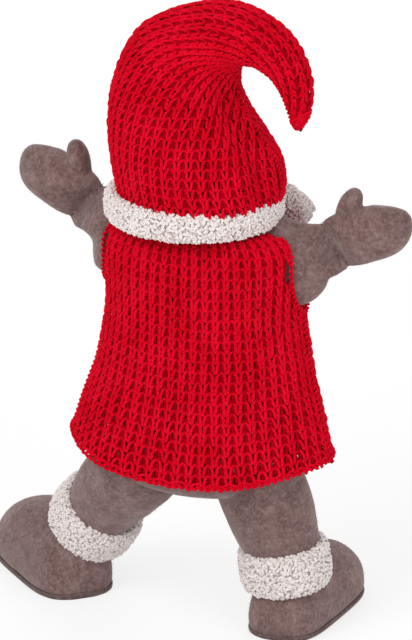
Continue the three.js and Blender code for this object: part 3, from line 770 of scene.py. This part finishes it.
def arm_rows(name):
    """The arm from its round root in the armhole to the wrist seam; the left one is the slimmer."""
    r, depth, w = SHOULDER[name][2], SHOULDER["depth"], WRIST[name]
    thin = 1 if name == "left" else 0
    rows = [[-13.5, 0, 0, r * 0.6, 11]]
    for x in (-12, -7, 0, 6, 12):
        share = math.sqrt(1 - (x / r) ** 2)
        slim = 3.6 * max(0, x) / 12 * thin
        rows.append([x, 0, slim, r * share - 0.4 - slim, depth * share - 0.4])
    return rows + [
        [w - 11.5, -2, -1.5 + 2.6 * thin, 20.3 - 2.6 * thin, 12.7],
        [w - 7.5, -5.2, -4 + thin, 18.5 - thin, 9.8], [w - 4.5, -8.4, -5.6, 17, 6.2],
        [w - 2.2, -10.2, -6.6, 16.4, 3.2], [w - 0.9, -10.9, -7, 16.2, 1.5]]


def merged(name, pieces, voxel, material):
    """Several overlapping closed skins made into one smooth skin."""
    obj = make_mesh(name, material, *join_parts(pieces))
    clean(obj)
    remesh = obj.modifiers.new("whole", "REMESH")
    remesh.mode = "VOXEL"
    remesh.voxel_size = voxel / MM_PER_M
    relax = obj.modifiers.new("soft", "SMOOTH")
    relax.factor = 0.5
    relax.iterations = 6
    bpy.context.view_layer.update()
    first, ready = obj.data, obj.evaluated_get(bpy.context.evaluated_depsgraph_get())
    whole = bpy.data.meshes.new_from_object(ready)
    obj.modifiers.clear()
    obj.data = whole
    bpy.data.meshes.remove(first)
    whole.polygons.foreach_set("use_smooth", np.ones(len(whole.polygons), bool))
    return obj


def clean(obj):
    """Joins double points and turns all faces outward."""
    mesh = bmesh.new()
    mesh.from_mesh(obj.data)
    bmesh.ops.remove_doubles(mesh, verts=mesh.verts, dist=1e-6)
    bmesh.ops.dissolve_degenerate(mesh, edges=mesh.edges, dist=1e-7)
    bmesh.ops.recalc_face_normals(mesh, faces=mesh.faces)
    mesh.to_mesh(obj.data)
    mesh.free()


def surface_samples(obj):
    """Vertex places in the doll's own millimetres and their normals."""
    mesh = obj.data
    co, no = np.empty((2, len(mesh.vertices) * 3), np.float32)
    mesh.vertices.foreach_get("co", co)
    mesh.vertices.foreach_get("normal", no)
    return co.reshape(-1, 3) * MM_PER_M - SHIFT, no.reshape(-1, 3).astype(float)


def build_arms():
    for number, (name, sign) in enumerate(SIDES):
        place = arm_frame(name, sign)
        w = WRIST[name]
        parts = [skin(arm_rings(place, arm_rows(name)))]
        for rows, sides in ((HAND, 44), (THUMB, 28), (WEB, 44)):
            parts.append(skin(arm_rings(place, rows, sides, w)))
        limb = merged(name + "_sleeve_and_mitten", parts, 1.1, FELT)
        shape_limb(limb, 31 + number)
        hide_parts(name + "_arm", name + "_hand")
        at, n = surface_samples(limb)
        hair = make_mesh(limb.name + "_nap", FELT, *fuzz(at, n, {"count": 9000, "length": 1.6}, 41 + number))
        stitches = make_mesh(name + "_wrist_stitches", THREAD, *wrist_stitches(place, name))
        for piece in (limb, hair, stitches):
            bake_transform(piece)


def shape_limb(obj, seed):
    """Gives a merged limb its soft bulges."""
    moved = lumpy(surface_samples(obj)[0], 0.55, 24, seed)
    obj.data.vertices.foreach_set("co", ((moved + SHIFT) / MM_PER_M).astype(np.float32).ravel())
    obj.data.update()


def wrist_stitches(place, name):
    """Running stitches along the pressed wrist seam, on both faces."""
    out, up, origin = place
    count, pitch, length, first = 8, 3.85, 2.2, WRIST["drop"] - 13.5
    parts = []
    for side in (-1, 1):
        for k in range(count):
            ends = []
            for share, lift in ((0, 1.0), (0.33, 1.55), (0.66, 1.55), (1.0, 1.0)):
                z = first + k * pitch + length * share
                y = WRIST["forward"] + side * lift
                ends.append(origin + out * WRIST[name] + up * z + Y_AXIS * y)
            parts.append(tubes(np.array(ends)[None], Y_AXIS * side, 0.28, 5))
    return join_parts(parts)


# Legs from hip to ankle: x, y, z and two half widths
LEG_PATHS = {
    "right": [
        [-34, 0, 118, 24, 24], [-34.6, -0.2, 103, 26.5, 26.5], [-37.5, -1, 92, 27, 27],
        [-42, -2.5, 79, 27, 26.6], [-46, -4, 66, 25.8, 25.6], [-49.5, -5.5, 54, 23.4, 23.4],
        [-51, -6.5, 44, 21.4, 21.4], [-52, -7, 34, 20.4, 20.4], [-52.5, -7, 26, 19.6, 19.6]],
    "left": [
        [34, 0, 118, 24, 24], [35.8, -0.6, 103, 26.5, 26.5], [40.5, -2, 94, 27, 27],
        [49.5, -6.5, 84, 26.6, 26.4], [59, -12, 74, 25.4, 25], [67.5, -17.5, 63, 23.2, 23.2],
        [75, -22.5, 52, 21.4, 21.4], [81.5, -27, 41, 20.4, 20.4], [86, -30, 32, 19.6, 19.6]],
}
CUFFS = {
    "right": {"centre": [-51.4, -6.4, 41], "axis": [0.1, 0.06, 1]},
    "left": {"centre": [78, -24.8, 47.5], "axis": [-0.56, 0.33, 0.76]},
}
BOOTS = {
    "right": {"heel": [-53, 19.5, 0], "toe": [-58.8, -88.6, 0], "wide": 0.91, "tall": 0.96},
    "left": {"heel": [78, -4.2, 0], "toe": [148.2, -81.6, 0], "wide": 1.0, "tall": 1.03},
}
# From heel to toe: share of the length, half width, height
BOOT_ROWS = [
    [0.004, 8, 13], [0.03, 16, 26], [0.08, 21.5, 33.5], [0.17, 25, 37.5], [0.3, 26.6, 39.5], [0.45, 27.4, 41],
    [0.6, 28, 41.5], [0.72, 27.8, 39], [0.82, 26, 34.5], [0.9, 21.8, 27], [0.96, 15, 18.5], [0.996, 6.5, 9]]
SOLE_TOP, UPPER_BOTTOM = 3.4, 3.1


def boot_rings(name, floor, grow, top_at):
    """Rings from heel to toe, grown that much, whose tops are worked out from the boot's height."""
    boot = BOOTS[name]
    heel, toe = np.array(boot["heel"], float), np.array(boot["toe"], float)
    along = unit(toe - heel)
    across = np.array([-along[1], along[0], 0])
    length = np.linalg.norm(toe - heel)
    rings = []
    for share, half, height in smooth_rows(BOOT_ROWS, 3):
        centre = heel + along * (share * length + (share - 0.5) * 2 * grow)
        half = max(half * boot["wide"] + grow, 0.5)
        rings.append(boot_ring(centre, across, half, floor, top_at(height * boot["tall"])))
    return np.array(rings)


def boot_ring(centre, across, half, floor, top):
    """A rounded arch over a flat underside with a soft edge."""
    edge = min(4.5, (top - floor) * 0.35)
    steps, power = 36, 2.3
    ring = []
    for k in range(steps + 1):
        a = k / steps * math.pi
        p = centre + across * half * bent(math.cos(a), power)
        p[2] = floor + edge + (top - floor - edge) * bent(math.sin(a), power)
        ring.append(p)
    for share in (-0.985, -0.93, -0.5, 0, 0.5, 0.93, 0.985):
        lift = {0.985: 0.35, 0.93: 0.05}.get(abs(share), 0)
        p = centre + across * half * share
        p[2] = floor + edge * lift
        ring.append(p)
    return ring


def build_legs():
    for name, sign in SIDES:
        body = name + "_leg"
        seed = 60 if sign > 0 else 70
        rings = stuffed(LEG_PATHS[name], X_AXIS, 56)
        leg = felt_piece(name + "_stuffed_leg", rings, [name + "_leg"], seed, 0.6, fuzzy=5000)
        for piece in leg:
            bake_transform(piece)
        rings = boot_rings(name, UPPER_BOTTOM, 0, lambda height: height)
        ride_on(body, felt_piece(name + "_boot_upper", rings, [name + "_boot"], seed + 1, 0.5, fuzzy=6000))
        build_sole(name, body)
        build_cuff(name, body, seed + 2)


def build_sole(name, body):
    rings = boot_rings(name, 0, 0.15, lambda height: SOLE_TOP + 3)
    rings[:, :, 2] = np.clip(rings[:, :, 2], 0.0, SOLE_TOP)
    sole = make_mesh(name + "_boot_sole", SOLE_PAINTED_SHADE, *skin(rings))
    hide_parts(name + "_sole")
    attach(sole, body)


def build_cuff(name, body, seed):
    axis = unit(np.array(CUFFS[name]["axis"], float))
    middle = np.array(CUFFS[name]["centre"])
    u = unit(np.cross(Y_AXIS, axis))
    v = np.cross(axis, u)
    rings = []
    for a in angles_round(60):
        out = u * math.cos(a) + v * math.sin(a)
        centre = middle + out * (CUFF["inner"] + CUFF["thick"] - 0.6)
        rings.append(oval(centre, out, axis, CUFF["thick"] + 0.4, CUFF["half"] - 1.2, 22, 2.6))

    def inside(p):
        off = (p - middle) - ((p - middle) @ axis)[:, None] * axis
        return np.linalg.norm(off, axis=1) < CUFF["inner"] + 0.2

    fleece(name + "_boot_cuff", np.array(rings), True, body, [name + "_cuff"], seed, inside)


def build_head():
    rings = sphere_rings(HEAD, HEAD_R - 4, HEAD_R - 1, HEAD_R)
    ride_on("body", felt_piece("stuffed_head", rings, ["head"], 11, 0.3))
    rings = sphere_rings([HEAD[0], NOSE_Y, NOSE_Z], *NOSE_RADII, 14, 24)
    ride_on("body", felt_piece("round_nose", rings, ["nose"], 12, 0.2, size=9, fuzzy=900, material=NOSE))
    for node in ("left_eye", "right_eye"):
        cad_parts[node].data.materials.clear()
        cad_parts[node].data.materials.append(BEAD)


def build_torso():
    """The body's filling, set back from the tunic by the knit."""
    rows = [[85.5, 16, 12], [88, 36, 24], [94.5, 50, 32], [106, 56, 36], [125, 57.5, 37.5], [155, 58.5, 38]]
    for z in (187, 206, 230, 242):
        rows.append([z] + [float(read_rows(TUNIC_ROWS, z, column)) - KNIT - 0.9 for column in (1, 2)])
    rows += [[248, 54, 33.5], [251, 47, 30], [252.6, 37, 26]]
    rings = [oval([float(lean(z)), 0, z], X_AXIS, Y_AXIS, a, b, 72, TUNIC_POWER)
             for z, a, b in smooth_rows(rows, 3)]
    ride_on("body", felt_piece("stuffed_body", np.array(rings), ["torso"], 14, 0.4, size=30, fuzzy=2500))


# Hat, brim and beard

HAT_SIDES = 200
SEAM_SIDE = HAT_SIDES // 2


def under_hat(p):
    """Which points the hat's knit covers: those above the brim."""
    angle = np.arctan2(p[:, 1] / TRIM["ry"], (p[:, 0] - TRIM["x"]) / TRIM["rx"])
    return p[:, 2] > trim_height(angle) + TRIM["tall"] - 2.2


def build_hat():
    filling = hat_rings(KNIT + 2.0, 4, 160)
    filling = filling[filling.mean(axis=1)[:, 2] > 290]
    ride_on("body", felt_piece("felt_hat_filling", filling, ["hat_lining"], 15, 0.3, material=HAT_FELT_PAINTED_LIGHT))
    rings = hat_rings(1.1, 6, HAT_SIDES)
    cloth = Cloth(rings, 0, wale=HAT_WALE)
    path = (running_length(rings[:, 0]) + running_length(rings.mean(axis=1))) / 2
    marks = np.arange(int(path[-1] / HAT_COURSE)) * HAT_COURSE + 2.0
    marks = np.interp(marks, path, np.arange(len(path)))
    places = cells(cloth, marks, np.gradient(marks), under_hat)
    yarn = knit(cloth, places, 100, 0.98, (-1.0, 0.0, 1.0))
    inner_face = ground(cloth, marks, under_hat, 2.4, 0.3, 101)
    sheet, carried = show_knit("hat", "hat_knit", yarn, inner_face, hat_seam(rings), 102)


def hat_seam(rings):
    """The sewn ridge up the hat's inner side, and the yarn wound round its tip."""
    ridge = rings[:, SEAM_SIDE]
    ridge = ridge[under_hat(ridge)]
    middle = rings.mean(axis=1)
    near = np.argmin(((ridge[:, None] - middle) ** 2).sum(-1), axis=1)
    seam = whip(ridge, unit(ridge - middle[near]), 0.9, 2.7, 0.9)
    return join_parts([seam, wound_tip(rings, middle)])


def wound_tip(rings, middle):
    """Yarn in a close spiral from where the hat is that narrow to its end."""
    narrow, pitch, per_turn, upper_half = 13.5, 1.75, 26, 60
    last = len(rings) - 1
    reach = np.linalg.norm(rings[:, 0] - rings[:, SEAM_SIDE], axis=1)
    first = float(np.interp(-narrow, -reach[upper_half:], np.arange(upper_half, len(rings))))
    turns = int(np.linalg.norm(middle[int(first)] - middle[-1]) / pitch) + 1
    k = np.linspace(0, 1, turns * per_turn)
    t = first + (last - 0.001 - first) * k
    a = np.mod(k * turns * HAT_SIDES, HAT_SIDES)
    i, j = t.astype(int), a.astype(int)
    fi, fj = (t - i)[:, None], (a - j)[:, None]
    after = np.minimum(i + 1, last)
    wound = between(*(between(rings[r, j], rings[r, (j + 1) % HAT_SIDES], fj) for r in (i, after)), fi)
    out = unit(wound - between(middle[i], middle[after], fi))
    wobble = 0.35 * np.sin(np.arange(len(k)) * 0.9)[:, None]
    return tubes((wound + out * (wobble + 0.5))[None], out[None], 1.0, 7)


def build_trim():
    rings = []
    for a in angles_round(120):
        out = np.array([math.cos(a), math.sin(a), 0])
        centre = np.array([TRIM["x"] + TRIM["rx"] * out[0], TRIM["ry"] * out[1], trim_height(a)])
        rings.append(oval(centre, out, Z_AXIS, TRIM["thick"] - 1.2, TRIM["tall"] - 1.2, 24, 2.6))

    def inside(p):
        across = (p[:, :2] - [TRIM["x"], 0]) / [TRIM["rx"], TRIM["ry"]]
        return np.linalg.norm(across, axis=1) < 0.955

    fleece("hat_brim", np.array(rings), True, "body", ["hat_trim"], 81, inside)


BEARD = {"x": 2.5, "y": -48, "half": 60.5, "low": 216, "high": 276, "deep": 9}


def beard_rings(thin):
    """Rings from one side of the beard to the other, thinner than the solid by that much."""
    rings = []
    for k in range(49):
        u = -1 + 2 * k / 48
        end = math.sqrt(max(0.04, 1 - abs(u) ** 6))
        low, high = BEARD["low"] + 33 * u * u, BEARD["high"] - 10 * u * u
        x, y = BEARD["x"] + (BEARD["half"] - thin) * u, BEARD["y"] + 11 * u * u
        half, deep = (high - low) / 2 * end - thin, BEARD["deep"] * math.sqrt(end) - thin
        rings.append(oval([x, y, (low + high) / 2], Z_AXIS, Y_AXIS, max(half, 0.6), max(deep, 0.6), 40, 2.3))
    return np.array(rings)


def build_beard():
    """The beard's back, which lies on the head and the chest, has no curls."""
    behind = lambda p: (p[:, 1] > BEARD["y"] + 4) & (np.abs(p[:, 0] - BEARD["x"]) < 34)
    fleece("curly_beard", beard_rings(1.2), False, "body", ["beard"], 91, behind)


# Tunic

COURSES, RINGS_PER_COURSE = 25, 3
WALES_PER_PANEL = 25
TUNIC_INSET = 1.2


def even_shares(count):
    """Steps up the tunic that are equally long over the cloth, since its shoulders turn inward."""
    fine = np.linspace(0, 1, 200)
    lines = np.array([tunic_ring(share, TUNIC_INSET, 8)[[0, 2]] for share in fine])
    length = np.linalg.norm(np.diff(lines, axis=0), axis=2).mean(axis=1)
    return np.interp(np.linspace(0, 1, count), np.concatenate([[0], np.cumsum(length)]) / length.sum(), fine)


def off_armholes(p):
    inside = np.zeros(len(p), bool)
    for name, side in SIDES:
        _, z, r = SHOULDER[name]
        across = (p[:, 1] - SHOULDER["y"]) / (SHOULDER["depth"] + 1.2)
        up = (p[:, 2] - z) / (r + 1.0)
        inside |= (across ** 2 + up ** 2 < 1) & (p[:, 0] * side > 40)
    return ~inside


def build_tunic():
    shares = even_shares(COURSES * RINGS_PER_COURSE + 1)
    rings = np.array([tunic_ring(share, TUNIC_INSET) for share in shares])
    marks = (np.arange(COURSES) + 0.7) * RINGS_PER_COURSE
    heights = np.full(COURSES, float(RINGS_PER_COURSE))
    for name, middle, sign, seed in (("tunic_back", 60, 1.0, 201), ("tunic_front", 180, -1.0, 211)):
        cloth = Cloth(rings, middle, wales=WALES_PER_PANEL / 2, share=0.5)
        places = cells(cloth, marks, heights, off_armholes)
        yarn = knit(cloth, places, seed, 1.05, (-1.15, 0.0, 1.15))
        inner_face = ground(cloth, marks, off_armholes, 2.3, 0.2, seed + 1)
        sheet, carried = show_knit(name, name, yarn, inner_face, tunic_edges(sign), seed + 2)


def tunic_edges(sign):
    """The cast-on hem, the bound armholes and the side seams of one panel."""
    sides = 720
    half = tunic_ring(0.0, 0.9, sides)[np.sin(angles_round(sides)) * sign > -0.005]
    half = half[np.argsort(half[:, 0])]
    n = unit(half * [1, 1, 0])
    wave = np.sin(np.linspace(0, 27 * TURN, len(half)))[:, None]
    low = half + Z_AXIS * (0.4 * wave + 1.3)
    high = half + Z_AXIS * (0.9 * wave + 3.4) - n * 0.7
    parts = [whip(low, n, 0.8, 4.2, 1.05), tubes(high[None, ::2], n[None, ::2], 0.95, 7)]
    for name, side in SIDES:
        parts += [side_seam(name, side, sign), armhole_edge(name, side, sign)]
    return join_parts(parts)


def side_seam(name, side, sign):
    _, middle, r = SHOULDER[name]
    z = np.linspace(HEM[name] - 1.5, middle - r - 1, 60)
    x = read_rows(TUNIC_ROWS, z, 1) * side + lean(z)
    path = np.stack([x, np.full(len(z), 1.1 * sign), z], -1)
    return whip(path, np.broadcast_to(X_AXIS * side, path.shape), 0.7, 3.4, 0.85)


def armhole_edge(name, side, sign):
    _, middle, r = SHOULDER[name]
    a = np.linspace(-math.pi / 2, math.pi / 2, 70)
    y = SHOULDER["y"] + sign * np.cos(a) * (SHOULDER["depth"] + 1.0)
    z = middle + np.sin(a) * (r + 1.0)
    low_enough = z < TUNIC_ROWS[-1, 0] - 1
    y, z = y[low_enough], z[low_enough]
    half_x, half_y = read_rows(TUNIC_ROWS, z, 1), read_rows(TUNIC_ROWS, z, 2)
    share = np.maximum(0, 1 - np.abs(y / half_y) ** TUNIC_POWER) ** (1 / TUNIC_POWER)
    path = np.stack([half_x * share * side + lean(z), y, z], -1)
    return whip(path, unit(path * np.array([1, 0.3, 0])), 0.8, 3.4, 0.88)


# Camera, light and floor: the camera stands where the photo's did

VIEW_AT = np.array([-1.05, -5.0, 191.3])
FORWARD = np.array([0.321, -0.883, -0.342])
DISTANCE, HALF_HEIGHT, SENSOR = 4.0, 0.192, 24
LIGHTS = (("key", (0.45, 1.15, 1.3), 0.9, 12.0), ("fill", (-1.1, 0.7, 0.7), 1.0, 5.0),
          ("front", (0.3, -1.2, 0.9), 1.0, 6.0))


def build_stage():
    scene = bpy.context.scene
    target = Vector((VIEW_AT + SHIFT) / MM_PER_M)
    forward = Vector(unit(FORWARD))
    data = bpy.data.cameras.new("camera")
    camera = bpy.data.objects.new("camera", data)
    scene.collection.objects.link(camera)
    camera.location = target - forward * DISTANCE
    camera.rotation_euler = forward.to_track_quat("-Z", "Y").to_euler()
    data.sensor_fit = "VERTICAL"
    data.sensor_height = SENSOR
    data.lens = SENSOR / 2 * DISTANCE / HALF_HEIGHT
    scene.camera = camera
    scene.view_settings.view_transform = "Standard"
    add_floor()
    add_world(scene)
    for light in LIGHTS:
        add_light(*light, target)


def add_floor():
    """A pale floor that shows shadows, with a share of white glow that only the camera sees."""
    glow = 0.72
    bpy.ops.mesh.primitive_plane_add(size=8)
    floor = bpy.context.object
    floor.name = "studio_floor"
    material, tree, shader = new_material("studio_white")
    tint = noise(tree, scale=3, detail=1, roughness=0.5)
    pale = [(0.3, (0.94, 0.94, 0.94)), (0.7, (0.96, 0.96, 0.96))]
    dress(tree, shader, [(tint, pale, 1.0)], {"Roughness": 0.9})
    white = add_node(tree, "ShaderNodeEmission", Color=(1, 1, 1, 1))
    mixed = tree.nodes.new("ShaderNodeMixShader")
    sources = (by_viewer(tree, 0.0, glow), shader.outputs[0], white.outputs[0])
    for source, socket in zip(sources, mixed.inputs):
        tree.links.new(source, socket)
    tree.links.new(mixed.outputs[0], tree.nodes["Material Output"].inputs["Surface"])
    floor.data.materials.append(material)


def by_viewer(tree, to_light, to_camera):
    """One value for what the camera sees and another for the light that falls."""
    seen = tree.nodes.new("ShaderNodeLightPath").outputs["Is Camera Ray"]
    return add_node(tree, "ShaderNodeMix", Factor=seen, A=to_light, B=to_camera).outputs[0]


def add_world(scene):
    """White to the camera, and dimmer as a source of light."""
    world = bpy.data.worlds.new("studio")
    scene.world = world
    world.use_nodes = True
    background = world.node_tree.nodes["Background"]
    strength = by_viewer(world.node_tree, 0.62, 1.0)
    world.node_tree.links.new(strength, background.inputs["Strength"])
    background.inputs["Color"].default_value = (1, 1, 1, 1)


def add_light(name, place, size, power, target):
    data = bpy.data.lights.new(name, "AREA")
    data.size = size
    data.energy = power
    light = bpy.data.objects.new(name, data)
    bpy.context.scene.collection.objects.link(light)
    light.location = Vector(place)
    light.rotation_euler = (target - light.location).to_track_quat("-Z", "Y").to_euler()


build_head()
build_torso()
build_arms()
build_legs()
build_hat()
build_trim()
build_beard()
build_tunic()
build_stage()
